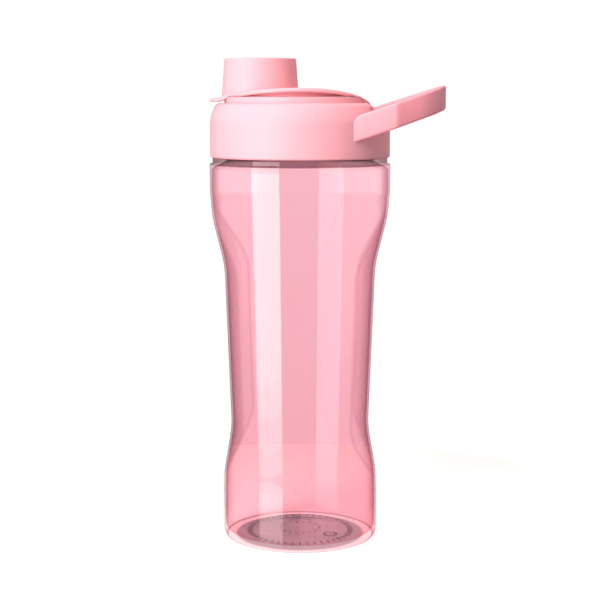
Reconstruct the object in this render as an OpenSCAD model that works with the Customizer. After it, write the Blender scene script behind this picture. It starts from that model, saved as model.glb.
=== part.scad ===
// Protein shaker bottle: clear waisted body, screw lid with a flip-up spout cap, and a carry loop.
// Millimetres. +Z is up, the origin is the centre of the foot ring on the table, +X points to the loop.

/* [Body] */
// radius of the straight foot that stands in a cup holder
foot_r = 36.8; // [36:0.1:37.4]
// height at which the straight foot ends and the body starts to widen
foot_top = 27; // [24:0.5:30]
// radius of the body just under the shoulder
shoulder_r = 42.6; // [42:0.1:43.2]
// height of the shoulder's top
shoulder_z = 179; // [176:0.2:179.4]
// side-to-side half width at the narrowest point of the waist
waist_r = 32.9; // [31.5:0.1:34]
// height of the narrowest point of the waist
waist_z = 57; // [54:0.5:60]
// how far each side scoop's own axis lies beyond the middle
scoop_offset = 25; // [20:1:32]
// turn of the waist about the bottle's axis, against the lid
waist_turn = -3.5; // [-10:0.5:10]
// wall of the clear body
body_wall = 2.4; // [1.8:0.1:2.8]
// inside floor above the table
floor_z = 4.6; // [4.4:0.1:5.4]
// height of the hollow under the foot
punt_h = 2.2; // [1.2:0.1:2.6]
// how much wider the waist gets in each millimetre above its narrowest point
waist_slope = 0.0385; // [0.034:0.0005:0.042]
// how far the scoops step out again under the shoulder
scoop_step = 5.3; // [5:0.1:5.6]

/* [Neck and thread] */
// outer radius of the neck under its thread
neck_r = 37; // [36.6:0.1:37.1]
// radius of the mouth
mouth_r = 34.6; // [33.8:0.1:35]
// height of the mouth's rim
rim_z = 197; // [196.4:0.1:197]
// radius of the collar ring that closes the neck below the lid
bead_r = 41.2; // [40:0.1:41.4]
// rise of the thread in one full turn
thread_lead = 9; // [8:0.5:10]
// how far the thread ridge stands out
thread_h = 1.2; // [0.9:0.1:1.3]
// number of thread starts
thread_starts = 2; // [1:1:2]
// how much of a turn each ridge covers
thread_turns = 0.9; // [0.6:0.05:1]

/* [Lid] */
// outer radius of the lid's collar
collar_r = 42.3; // [41.9:0.1:42.6]
// lower edge of the collar
collar_z = 182; // [181.9:0.1:182.6]
// height of the ledge round the top of the collar
ledge_z = 207.2; // [206.8:0.1:207.4]
// radius of the raised deck inside the ledge
deck_r = 36; // [35.6:0.1:36.2]
// top of the raised deck
deck_z = 210; // [209.6:0.1:210]
// wall of the collar
collar_wall = 2; // [1.6:0.1:2]
// thickness of the silicone ring
gasket_h = 2.2; // [1.8:0.1:2.2]

/* [Spout] */
// distance of the spout from the middle, away from the loop
spout_offset = 18.6; // [18:0.2:19.6]
// outer radius of the spout's lip
spout_r = 13; // [12:0.1:13.2]
// height of the spout's lip
spout_z = 223.4; // [221:0.2:223.4]
// wall of the spout
spout_wall = 1.5; // [1.2:0.1:1.8]

/* [Flip cap] */
// radius of the cap's top
cap_top_r = 16.9; // [16.8:0.05:17.2]
// radius of the cap where it meets its plate
cap_root_r = 18; // [17.9:0.05:18.3]
// height of the cap's flat top
cap_z = 227.8; // [227:0.2:229]
// radius of the arched plate
plate_r = 35.2; // [34.6:0.1:35.5]
// highest point of the arched plate
plate_z = 214; // [213.6:0.1:214.4]
// thickness of the arched plate
plate_t = 1.9; // [1.6:0.1:2.1]
// length of the thumb tab past the middle
tab_reach = 42.2; // [41:0.2:43]
// half width of the thumb tab
tab_half = 8; // [6:0.5:9]
// distance of the hinge pin from the middle
hinge_x = 31.5; // [31.3:0.1:31.6]
// height of the hinge pin
hinge_z = 204; // [203.8:0.1:204.2]
// radius of the hinge pin
pin_r = 1.25; // [1:0.05:1.4]

/* [Carry loop] */
// half width of the loop across its flat arms
loop_half = 34.8; // [34:0.1:35.2]
// radius of the loop's round nose
nose_r = 33.2; // [32:0.1:33.6]
// how far out the loop reaches
loop_reach = 68.3; // [66:0.1:70]
// bend between each flat arm and the nose
loop_bend = 34.5; // [30:0.5:38]
// thickness of the loop's band
band_t = 3.5; // [2.8:0.1:3.8]
// height of the band, measured straight up
band_h = 11.5; // [10:0.1:12]
// tilt of the loop above the level
loop_tilt = 18.3; // [16:0.1:20]

/* [Hidden] */
$fn = 96;

pink = [0.96, 0.72, 0.77];
clear_pink = [0.97, 0.78, 0.83, 0.45];
silicone = [0.93, 0.90, 0.90];
steel = [0.75, 0.75, 0.77];

gap = 0.3;                                  // clearance between moving faces
edge = 0.4;                                 // small bevel that breaks a moulded edge
far = 300;                                  // longer than the bottle, for cutters that pass through it
scoop_low = 25;                             // height at which the scoops start to cut into the foot
step_low = 126;                             // height at which the scoops start to step out again
step_high = 162;                            // height at which that step ends
scoop_run_out = 0.11;                       // slope that takes the scoops clear of the shoulder
punt_r = 20;                                // radius of the flat middle of the hollow under the foot
ring_in = 31.6;                             // inner radius of the ring that the bottle stands on
ring_out = 34.6;                            // outer radius of that ring
run_fit = 0.05;                             // radial clearance of the hinge pin in its knuckle
cut = 1;                                    // how far a cutter runs past the face it opens
land_z = rim_z + gasket_h + 0.2;            // underside of the lid that presses on the ring
land_top = ledge_z - collar_wall;           // top of that land, under the collar's ledge
skirt_r = collar_r - collar_wall - 0.1;     // outside of the threaded skirt
skirt_bore = neck_r + thread_h + 0.35;      // inside of the threaded skirt
skirt_z = collar_z + 0.4;                   // lower edge of the threaded skirt
thread_z = rim_z - 11;                      // start of the neck thread
barrel_r = 2.4;                             // rounding of the cap's tail about the hinge pin
tail_half = 22.5;                           // half width of the cap's tail
notch_half = tail_half + gap;               // half width of the notch that the tail turns in
notch_floor = hinge_z - barrel_r - 0.4;     // floor of that notch
notch_x = hinge_x - barrel_r - 1.5;         // inner wall of that notch
step_x = 21.5;                              // where the deck steps down under the cap's tail
step_z = deck_z - 2.4;                      // height of that step
pin_half = 24.8;                            // half length of the hinge pin
tab_root = 31.5;                            // where the thumb tab leaves the deck's side
grid_pitch = 7;                             // spacing of the strainer's square holes
grid_hole = 4.8;                            // side of each hole
grid_floor = 1.6;                           // thickness of the strainer's floor
grid_drop = 7;                              // how far the strainer hangs below the lid's land
band_root_z = 189.85;                       // underside of the loop's arms where they leave the collar
band_root_x = 25;                           // distance of that place from the middle
band_corner = 4.1;                          // length of the rounding on the arms' upper corner
band_drop = 2.8;                            // depth of that rounding
nose_x = loop_reach - nose_r;               // centre of the loop's nose

// Body -------------------------------------------------------------------------------------------

// outline of the body of revolution, set in from the outside by `d`
function round_profile(d) = [
    [foot_r - d, foot_top], [shoulder_r - edge - d, shoulder_z - 18], [shoulder_r - d, shoulder_z - 11]];

// 0 to 1 with a level start and end
function ease(t) = let (u = min(1, max(0, t))) u * u * (3 - 2 * u);

// side-to-side half width of the scooped body at height z
function scoop_half(z) = z < waist_z
    ? waist_r + (foot_r + 0.1 - waist_r) * (1 - ease((z - scoop_low) / (waist_z - scoop_low)))
        + 0.05 * max(0, foot_top - z)
    : waist_r + waist_slope * (z - waist_z) + scoop_step * ease((z - step_low) / (step_high - step_low))
        + scoop_run_out * max(0, z - step_high);

// heights at which the scoops' outline is drawn: close together only where it bends
scoop_heights = concat([-cut, scoop_low], [for (i = [1:7]) scoop_low + (waist_z - scoop_low) * i / 7],
    [72, 90, 108], [for (i = [0:9]) step_low + (step_high - step_low) * i / 9], [shoulder_z + 11]);

module scoop_space(side, d) {
    translate([-side * scoop_offset, 0, 0])
        rotate_extrude()
            polygon(concat([[0, -cut]], [for (z = scoop_heights) [scoop_half(z) - d + scoop_offset, z]],
                [[0, shoulder_z + 11]]));
}

module waisted(d) {
    intersection() {
        children();
        rotate(waist_turn) scoop_space(1, d);
        rotate(waist_turn) scoop_space(-1, d);
    }
}

module body_outside() {
    rotate_extrude()
        polygon(concat(
            [[0, punt_h], [punt_r, punt_h], [ring_in - 4, punt_h * 0.75], [ring_in - 1.1, 0.3], [ring_in, 0],
             [ring_out, 0], [foot_r - 0.9, 0.5], [foot_r - 0.3, 1.4], [foot_r, 3]],
            round_profile(0),
            [[shoulder_r, shoulder_z - 1.2], [shoulder_r - edge, shoulder_z - 0.3],
             [shoulder_r - 1.1, shoulder_z], [0, shoulder_z]]));
}

module body_inside() {
    rotate_extrude()
        polygon(concat(
            [[0, floor_z], [ring_in - 8, floor_z], [ring_in - 2, floor_z - 1.6],
             [foot_r - body_wall - 2, floor_z - 1.6], [foot_r - body_wall - 0.6, floor_z - 0.9],
             [foot_r - body_wall, floor_z + 1]],
            round_profile(body_wall),
            [[shoulder_r - body_wall, shoulder_z - 5], [shoulder_r - body_wall - 1.5, shoulder_z - 2.4],
             [mouth_r, shoulder_z + 1.5], [0, shoulder_z + 1.5]]));
}

// one helical ridge: `root` is buried in the wall, `crest` is the tip, `out` is 1 outward or -1 inward
module ridge(root, crest, z0, start) {
    steps = 30;
    fade = 4;
    function tip(i) = root + (crest - root) * min(1, (min(i, steps - i) + 0.8) / fade);
    function at(i, r, dz) = let (a = start + 360 * thread_turns * i / steps)
        [r * cos(a), r * sin(a), z0 + thread_lead * thread_turns * i / steps + dz];
    pts = [for (i = [0:steps])
        each [at(i, root, -1.2), at(i, tip(i), -0.5), at(i, tip(i), 0.5), at(i, root, 1.2)]];
    sides = crest > root ? [for (i = [0:steps - 1], k = [0:3])
            each [[4 * i + k, 4 * i + (k + 1) % 4, 4 * i + 4 + k],
                  [4 * i + (k + 1) % 4, 4 * i + 4 + (k + 1) % 4, 4 * i + 4 + k]]]
        : [for (i = [0:steps - 1], k = [0:3])
            each [[4 * i + (k + 1) % 4, 4 * i + k, 4 * i + 4 + k],
                  [4 * i + 4 + (k + 1) % 4, 4 * i + (k + 1) % 4, 4 * i + 4 + k]]];
    last = 4 * steps;
    ends = crest > root ? [[3, 2, 1, 0], [last, last + 1, last + 2, last + 3]]
        : [[0, 1, 2, 3], [last + 3, last + 2, last + 1, last]];
    polyhedron(points = pts, faces = concat(sides, ends));
}

module bottle_body() {
    color(clear_pink) difference() {
        union() {
            waisted(0) body_outside();
            neck_outside_ring();
            for (s = [0:thread_starts - 1])
                ridge(neck_r - 0.4, neck_r + thread_h, thread_z, 360 / thread_starts * s);
        }
        waisted(body_wall) body_inside();
        cylinder_span(mouth_r, shoulder_z + 1.4, rim_z + cut);
    }
}

module cylinder_span(r, from, to) {
    translate([0, 0, from]) cylinder(r = r, h = to - from);
}

module neck_outside_ring() {
    cylinder_span(bead_r, shoulder_z - cut, collar_z - edge);
    cylinder_span(neck_r, shoulder_z - cut, rim_z);
}

// Lid --------------------------------------------------------------------------------------------

// clearance in the lid for the flip cap's tail, thumb tab and hinge pin
module cap_clearance() {
    translate([notch_x, -notch_half, notch_floor]) cube([20, 2 * notch_half, 20]);
    translate([step_x, -notch_half, step_z]) cube([20, 2 * notch_half, 20]);
    translate([-tab_reach - 8, -tab_half - 2 * gap, ledge_z + 0.1])
        cube([tab_reach + 8 - tab_root, 2 * tab_half + 4 * gap, 10]);
    pin_bar(pin_r, pin_half);
}

module pin_bar(r, half) {
    translate([hinge_x, 0, hinge_z]) rotate([90, 0, 0]) cylinder(r = r, h = 2 * half, center = true);
}

module lid_shell() {
    bore = collar_r - collar_wall;
    color(pink) difference() {
        rotate_extrude()
            polygon([
                [bore, collar_z], [collar_r - 1, collar_z], [collar_r - 0.3, collar_z + 0.3],
                [collar_r, collar_z + 1], [collar_r, ledge_z - 9.2], [collar_r - 0.35, ledge_z - 6.6],
                [collar_r - 0.9, ledge_z - 4.2], [collar_r - 1.6, ledge_z - 2.3],
                [collar_r - 2.3, ledge_z - 1], [collar_r - 3.1, ledge_z - 0.3], [collar_r - 4.3, ledge_z],
                [deck_r + 0.1, ledge_z], [deck_r + 0.1, land_top], [bore, land_top]]);
        cap_clearance();
        loop_band();
    }
}

module lid_liner() {
    color(pink) difference() {
        union() {
            difference() {
                union() {
                    cylinder_span(skirt_r, skirt_z, land_top);
                    cylinder_span(deck_r, land_z, deck_z);
                }
                cylinder_span(skirt_bore, skirt_z - cut, land_z);
                // hollow under the deck, stopped short of the hinge notch
                intersection() {
                    cylinder_span(deck_r - 2.6, land_z - cut, deck_z - 2);
                    translate([-50, -50, land_z - cut]) cube([50 + step_x - 2, 100, 20]);
                }
            }
            translate([-spout_offset, 0, deck_z - 2])
                cylinder(r1 = spout_r + 0.9, r2 = spout_r, h = spout_z - deck_z + 2);
            for (s = [0:thread_starts - 1])
                ridge(skirt_bore + 0.4, neck_r + 0.35, thread_z - thread_lead / thread_starts / 2,
                      360 / thread_starts * s);
        }
        translate([-spout_offset, 0, deck_z - 2 - cut])
            cylinder(r1 = spout_r - spout_wall + 1.1, r2 = spout_r - spout_wall,
                     h = spout_z - deck_z + 2 + 2 * cut);
        cap_clearance();
    }
}

module lid_gasket() {
    color(silicone) difference() {
        cylinder_span(skirt_bore - 0.15, rim_z + 0.1, land_z);
        cylinder_span(mouth_r, rim_z, land_z + cut);
    }
}

// strainer that hangs from the lid inside the mouth
module mixing_grid() {
    ring_r = mouth_r - 0.6;
    ring_wall = 1.4;
    grid_z = land_z - grid_drop;
    color(pink) difference() {
        cylinder_span(ring_r, grid_z, land_z);
        cylinder_span(ring_r - ring_wall, grid_z + grid_floor, land_z + cut);
        for (i = [-4:4])
            intersection() {
                cylinder_span(ring_r - 3, grid_z - cut, grid_z + 2);
                for (j = [-4:4])
                    translate([i * grid_pitch - grid_hole / 2, j * grid_pitch - grid_hole / 2, grid_z - cut])
                        cube([grid_hole, grid_hole, 4]);
            }
    }
}

// Flip cap ---------------------------------------------------------------------------------------

// height of the plate's arched top at distance x, falling away in a quarter ellipse to the hinge
function arch(x) = x < 0 ? plate_z - 3.6 * pow(x / 36.8, 2)
    : hinge_z + (plate_z - hinge_z) * sqrt(max(0, 1 - pow(x / (hinge_x + barrel_r + 0.1), 2.2)));

// plate seen from the side: `t` is its thickness, `low` the height that its underside never passes
module side_view(x0, x1, t, low, step = 2) {
    xs = [for (x = [x0:step:x1 - 0.1]) x];
    rotate([90, 0, 0]) linear_extrude(height = 90, center = true)
        polygon(concat([for (x = xs) [x, arch(x)]], [[x1, arch(x1)], [x1, max(low, arch(x1) - t)]],
                       [for (i = [len(xs) - 1:-1:0]) [xs[i], max(low, arch(xs[i]) - t)]]));
}

module flip_cap() {
    rest_z = deck_z + 0.15;
    bore_root = cap_root_r - 1.6;
    bore_top = cap_top_r - 1.7;
    color(pink) difference() {
        union() {
            // arched plate and the set-back skirt under its rim
            intersection() {
                side_view(-plate_r, 26, plate_t, rest_z);
                cylinder_span(plate_r, deck_z - cut, plate_z + cut);
            }
            intersection() {
                side_view(-plate_r, 20, 20, rest_z);
                difference() {
                    cylinder_span(plate_r - 3, rest_z, plate_z + cut);
                    cylinder_span(plate_r - 5, rest_z - cut, plate_z + 2 * cut);
                }
            }
            // tail, knuckle and thumb tab
            rotate([90, 0, 0]) linear_extrude(height = 2 * tail_half, center = true)
                polygon(concat([for (x = [step_x + 0.4:1.5:hinge_x + 1.5]) [x, arch(x)]],
                    [[hinge_x + barrel_r, hinge_z + 0.6], [hinge_x + barrel_r, hinge_z],
                     [hinge_x - barrel_r, hinge_z], [hinge_x - barrel_r, step_z + 0.2],
                     [step_x + 0.4, step_z + 0.2]]));
            pin_bar(barrel_r, tail_half);
            thumb_tab();
            // cap over the spout
            translate([-spout_offset, 0, rest_z])
                cylinder(r1 = cap_root_r + 0.1, r2 = cap_top_r, h = cap_z - 0.7 - rest_z);
            translate([-spout_offset, 0, cap_z - 0.7])
                cylinder(r1 = cap_top_r, r2 = cap_top_r - 0.6, h = 0.7);
        }
        translate([-spout_offset, 0, rest_z - cut])
            cylinder(r1 = bore_root, r2 = bore_top, h = cap_z - 2 - rest_z + cut);
        pin_bar(pin_r + run_fit, tail_half + cut);
    }
}

module thumb_tab() {
    low = ledge_z + 0.4;
    top = arch(-plate_r);
    intersection() {
        rotate([90, 0, 0]) linear_extrude(height = 2 * tab_half, center = true)
            polygon([[-tab_root - 1, low], [-tab_reach + 1.2, low], [-tab_reach + 0.3, low + 0.5],
                     [-tab_reach, low + 1.3], [-tab_reach + 0.5, low + 2], [-tab_reach + 2, low + 2.5],
                     [-plate_r, top], [-tab_root - 1, arch(-tab_root - 1) - 0.05]]);
        translate([-tab_reach + 9, 0, 0]) union() {
            cylinder(r = 9, h = far);
            translate([0, -tab_half, 0]) cube([20, 2 * tab_half, far]);
        }
    }
}

module cap_seal() {
    color(silicone) translate([-spout_offset, 0, 0]) {
        cylinder_span(cap_top_r - 1.9, spout_z + 0.1, cap_z - 2);
        cylinder_span(spout_r - spout_wall - 1.4, spout_z - 1.4, spout_z + 0.5);
    }
}

module hinge_pin() {
    color(steel) pin_bar(pin_r, pin_half);
}

// Carry loop -------------------------------------------------------------------------------------

// the loop from above, set in by `d`: two flat arms, two straight bends and a round nose
module loop_plan(d) {
    r = nose_r - d;
    half = loop_half - d;
    join = [nose_x + r * sin(loop_bend), r * cos(loop_bend)];
    crease = join[0] - (half - join[1]) / tan(loop_bend);
    polygon([[0, -half], [crease, -half], [join[0], -join[1]], join, [crease, half], [0, half]]);
    intersection() {
        translate([nose_x, 0]) circle(r = r);
        translate([join[0], -r]) square([r, 2 * r]);
    }
}

module loop_band() {
    x0 = band_root_x - 4;
    x1 = loop_reach + cut;
    function low(x) = band_root_z + (x - band_root_x) * tan(loop_tilt);
    difference() {
        intersection() {
            linear_extrude(height = far) difference() {
                loop_plan(0);
                loop_plan(band_t);
            }
            // side view: a straight band with its upper corner rounded off where it enters the collar
            rotate([90, 0, 0]) linear_extrude(height = far, center = true)
                polygon(concat([[x0, low(x0)], [x1, low(x1)], [x1, low(x1) + band_h]],
                    [for (u = [0:0.2:1]) let (x = band_root_x + band_corner * (0.78 - u))
                        [x, low(x) + band_h - band_drop * (1 - sqrt(1 - u * u))]],
                    [[x0, low(x0) + band_h - band_drop]]));
        }
        cylinder(r = collar_r - collar_wall, h = far);
    }
}

module carry_loop() {
    color(pink) loop_band();
}

bottle_body();
lid_shell();
lid_liner();
lid_gasket();
mixing_grid();
flip_cap();
cap_seal();
hinge_pin();
carry_loop();
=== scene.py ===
# %% [markdown]
# A clear pink shaker bottle with a screw lid, a flip-up spout cap and a carry loop.
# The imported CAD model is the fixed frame. Every visible piece below stands in the same
# place as the CAD solid that it replaces, in metres, with +Z up and +X towards the loop.

# %% Load the frame
import math

import bmesh
import bpy
import numpy as np
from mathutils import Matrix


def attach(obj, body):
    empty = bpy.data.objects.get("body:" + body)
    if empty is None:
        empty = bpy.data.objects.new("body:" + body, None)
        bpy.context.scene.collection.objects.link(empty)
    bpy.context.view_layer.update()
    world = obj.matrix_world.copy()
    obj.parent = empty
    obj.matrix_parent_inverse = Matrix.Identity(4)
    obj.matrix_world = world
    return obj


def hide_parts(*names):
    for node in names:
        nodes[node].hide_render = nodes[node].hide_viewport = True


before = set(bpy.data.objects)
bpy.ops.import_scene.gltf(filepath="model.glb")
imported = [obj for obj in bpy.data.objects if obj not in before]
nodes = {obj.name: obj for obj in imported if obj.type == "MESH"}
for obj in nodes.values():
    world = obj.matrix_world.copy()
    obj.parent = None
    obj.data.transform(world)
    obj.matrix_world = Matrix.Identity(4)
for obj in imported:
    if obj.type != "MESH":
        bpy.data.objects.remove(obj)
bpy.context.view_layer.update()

MM = 0.001

# %% [markdown]
# Most pieces here are turned or swept plastic, so two helpers do the shaping. `fillet` rounds
# the corners of a profile, because a moulded edge is never sharp, and `skin` joins a row of
# rings into one closed mesh. Rings give full control of where the edges of the mesh run.


# %% Shape helpers
def fillet(corners, steps=5):
    """Profile through (r, z, radius) corners, in mm, with each corner rounded to its radius."""
    out = []
    pts = [np.array(c[:2], float) for c in corners]
    for i, c in enumerate(corners):
        radius = c[2] if len(c) > 2 else 0
        if radius <= 0 or i in (0, len(corners) - 1):
            out.append(pts[i])
            continue
        a, b = pts[i - 1] - pts[i], pts[i + 1] - pts[i]
        la, lb = np.linalg.norm(a), np.linalg.norm(b)
        a, b = a / la, b / lb
        half = math.acos(max(-1, min(1, float(a @ b)))) / 2
        if half > math.pi / 2 - 0.01:
            out.append(pts[i])
            continue
        reach = min(radius / math.tan(half), la * 0.49, lb * 0.49)
        radius = reach * math.tan(half)
        centre = pts[i] + (a + b) / np.linalg.norm(a + b) * radius / math.sin(half)
        p, q = pts[i] + a * reach - centre, pts[i] + b * reach - centre
        turn = math.atan2(p[0] * q[1] - p[1] * q[0], p @ q)
        for k in range(steps + 1):
            s = turn * k / steps
            out.append(centre + np.array([p[0] * math.cos(s) - p[1] * math.sin(s),
                                          p[0] * math.sin(s) + p[1] * math.cos(s)]))
    return np.array(out)


def smooth_curve(xs, ys):
    """Function through the given points that never overshoots them (monotone cubic)."""
    xs, ys = np.array(xs, float), np.array(ys, float)
    h, d = np.diff(xs), np.diff(ys) / np.diff(xs)
    m = np.zeros_like(xs)
    for i in range(1, len(xs) - 1):
        if d[i - 1] * d[i] > 0:
            w1, w2 = 2 * h[i] + h[i - 1], h[i] + 2 * h[i - 1]
            m[i] = (w1 + w2) / (w1 / d[i - 1] + w2 / d[i])
    m[0], m[-1] = d[0], d[-1]

    def at(x):
        x = np.clip(np.asarray(x, float), xs[0], xs[-1])
        i = np.clip(np.searchsorted(xs, x) - 1, 0, len(h) - 1)
        t = (x - xs[i]) / h[i]
        return ((2 * t**3 - 3 * t**2 + 1) * ys[i] + (t**3 - 2 * t**2 + t) * h[i] * m[i]
                + (3 * t**2 - 2 * t**3) * ys[i + 1] + (t**3 - t**2) * h[i] * m[i + 1])

    return at


def skin(name, rings, poles=(False, False), closed=False):
    """One mesh object through closed rings of points (mm). A pole closes an end, and `closed`
    joins the last ring to the first."""
    n = len(rings[0])
    verts = [p for ring in rings for p in ring]
    faces = []
    count = len(rings)
    for i in range(count if closed else count - 1):
        a, b = i * n, (i + 1) % count * n
        faces += [(a + k, a + (k + 1) % n, b + (k + 1) % n, b + k) for k in range(n)]
    for end, ring in zip(poles, (0, count - 1)):
        if end:
            verts.append(np.mean(rings[ring], axis=0))
            faces += [(ring * n + (k + 1) % n, ring * n + k, len(verts) - 1) for k in range(n)]
    mesh = bpy.data.meshes.new(name)
    mesh.from_pydata([tuple(float(c) * MM for c in v) for v in verts], [], faces)
    return finished(name, mesh)


SHARP_ANGLE = math.radians(32)  # a fold sharper than this keeps its edge when shaded


def finished(name, mesh):
    """Merge doubles, point the faces outwards, shade smooth up to SHARP_ANGLE, put in the scene."""
    bm = bmesh.new()
    bm.from_mesh(mesh)
    bmesh.ops.remove_doubles(bm, verts=bm.verts, dist=1e-6)
    bmesh.ops.dissolve_degenerate(bm, dist=1e-7, edges=bm.edges)
    bmesh.ops.recalc_face_normals(bm, faces=bm.faces)
    bm.to_mesh(mesh)
    bm.free()
    mesh.shade_smooth()
    mesh.set_sharp_from_angle(angle=SHARP_ANGLE)
    obj = bpy.data.objects.new(name, mesh)
    bpy.context.scene.collection.objects.link(obj)
    print(name, len(mesh.polygons), "faces")
    return obj


def lathe(name, profile, around=192, centre=(0, 0), closed=True, poles=(False, False)):
    """Turn an (r, z) profile about an upright axis."""
    t = np.linspace(0, 2 * math.pi, around, endpoint=False)
    rings = [np.stack([centre[0] + r * np.cos(t), centre[1] + r * np.sin(t), np.full(around, z)], 1)
             for r, z in profile]
    return skin(name, rings, poles=poles, closed=closed)


def turned_solid(name, profile, around=128, centre=(0, 0)):
    """Turn a profile that starts and ends near the axis, and close it at both ends."""
    return lathe(name, profile, around, centre, closed=False, poles=(True, True))


def drum(name, radius, low, high, centre=(0, 0)):
    """A plain upright cylinder, used as a cutter."""
    return turned_solid(name, [(0.5, low), (radius, low), (radius, high), (0.5, high)], 128, centre)


def joined(name, parts):
    """Several shells as one object."""
    bm = bmesh.new()
    for part in parts:
        bm.from_mesh(part.data)
    mesh = bpy.data.meshes.new(name)
    bm.to_mesh(mesh)
    bm.free()
    for part in parts:
        bpy.data.objects.remove(part)
    return finished(name, mesh)


def carved(obj, cutters):
    """Cut the shapes in `cutters` out of obj, and keep the result as its plain mesh."""
    for cutter in cutters:
        mod = obj.modifiers.new("cut", "BOOLEAN")
        mod.object = cutter
        mod.operation = "DIFFERENCE"
        mod.solver = "MANIFOLD"
    now = bpy.context.evaluated_depsgraph_get()
    mesh = bpy.data.meshes.new_from_object(obj.evaluated_get(now), depsgraph=now)
    obj.modifiers.clear()
    obj.data = mesh
    for cutter in cutters:
        bpy.data.objects.remove(cutter)
    mesh.set_sharp_from_angle(angle=SHARP_ANGLE)
    return obj


# %% [markdown]
# The finishes. Moulded polypropylene has a satin, spark-eroded skin: its gloss is broken up by a
# grain of about 0.2 mm, and its colour drifts a little where the melt flowed. Everything comes
# from noise on Object coordinates, so that the grain keeps its real size on every piece.


# %% Material helpers
def new_material(name):
    """A material with its node tree and its Principled shader."""
    mat = bpy.data.materials.new(name)
    mat.use_nodes = True
    tree = mat.node_tree
    return mat, tree, tree.nodes["Principled BSDF"]


def noise(tree, scale, detail=2.0, rough=0.5, stretch=(1, 1, 1)):
    """Noise on Object coordinates, so that `scale` is per metre."""
    coords = tree.nodes.new("ShaderNodeTexCoord")
    place = tree.nodes.new("ShaderNodeMapping")
    place.inputs["Scale"].default_value = stretch
    tex = tree.nodes.new("ShaderNodeTexNoise")
    tex.inputs["Scale"].default_value = scale
    tex.inputs["Detail"].default_value = detail
    tex.inputs["Roughness"].default_value = rough
    tree.links.new(coords.outputs["Object"], place.inputs["Vector"])
    tree.links.new(place.outputs["Vector"], tex.inputs["Vector"])
    return tex.outputs["Fac"]


def spread(tree, value, low, high, frm=(0.3, 0.7)):
    """Map the range `frm` of a value to low..high, clamped at both ends."""
    node = tree.nodes.new("ShaderNodeMapRange")
    node.inputs["From Min"].default_value, node.inputs["From Max"].default_value = frm
    node.inputs["To Min"].default_value, node.inputs["To Max"].default_value = low, high
    tree.links.new(value, node.inputs["Value"])
    return node.outputs["Result"]


def between(tree, value, one, two):
    """Colour between two, by a factor."""
    node = tree.nodes.new("ShaderNodeMix")
    node.data_type = "RGBA"
    node.inputs["A"].default_value = (*one, 1)
    node.inputs["B"].default_value = (*two, 1)
    tree.links.new(value, node.inputs["Factor"])
    return node.outputs["Result"]


def math_node(tree, operation):
    """A math node of the given operation, whose inputs are still to be filled."""
    node = tree.nodes.new("ShaderNodeMath")
    node.operation = operation
    return node


def length_of(tree, vector):
    """Length of a vector socket."""
    node = tree.nodes.new("ShaderNodeVectorMath")
    node.operation = "LENGTH"
    tree.links.new(vector, node.inputs[0])
    return node.outputs["Value"]


def bumped(tree, shader, layers):
    """Chain bump layers of (height, strength, distance in metres) into the shader's normal."""
    last = None
    for height, strength, distance in layers:
        bump = tree.nodes.new("ShaderNodeBump")
        bump.inputs["Strength"].default_value = strength
        bump.inputs["Distance"].default_value = distance
        tree.links.new(height, bump.inputs["Height"])
        if last:
            tree.links.new(last, bump.inputs["Normal"])
        last = bump.outputs["Normal"]
    tree.links.new(last, shader.inputs["Normal"])


# %% Satin pink plastic of the lid
def satin_plastic(name, colour, deep, rough=(0.40, 0.52)):
    mat, tree, shader = new_material(name)
    flow = noise(tree, 18, 3, 0.55)
    drift = between(tree, spread(tree, flow, 0, 1), colour, deep)
    tree.links.new(drift, shader.inputs["Base Color"])
    grain = noise(tree, 4200, 2, 0.6)
    tree.links.new(spread(tree, grain, *rough), shader.inputs["Roughness"])
    shader.inputs["IOR"].default_value = 1.49
    bumped(tree, shader, [(grain, 0.10, 0.00004), (noise(tree, 60, 1), 0.05, 0.0004)])
    return mat


lid_pink = satin_plastic("lid_pink", (0.825, 0.338, 0.398), (0.812, 0.326, 0.385))
loop_pink = satin_plastic("loop_pink", (0.950, 0.325, 0.390), (0.935, 0.312, 0.376), (0.36, 0.46))


# %% [markdown]
# The body is clear tinted copolyester. It could be made to refract, or as a tinted wall under a
# gloss that light crosses straight. The second is used, because its look is easy to steer. The
# deeper tints that refraction gives in the scoops are laid on by place instead, and so is painted
# shade: the shaded table seen through the base, the shade under the collar round the neck and a
# dark line along the foot's lower edge. They go by height, by distance from the axis and by the
# body's own attributes.

# %% Clear pink copolyester of the body
def multiplied(tree, *values):
    """Product of some sockets."""
    last = values[0]
    for value in values[1:]:
        node = math_node(tree, "MULTIPLY")
        tree.links.new(last, node.inputs[0])
        tree.links.new(value, node.inputs[1])
        last = node.outputs[0]
    return last


def over(tree, under, amount, colour):
    """Lay a deeper tint over the one before it."""
    node = tree.nodes.new("ShaderNodeMix")
    node.data_type = "RGBA"
    tree.links.new(amount, node.inputs["Factor"])
    tree.links.new(under, node.inputs["A"])
    node.inputs["B"].default_value = (*colour, 1)
    return node.outputs["Result"]


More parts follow.
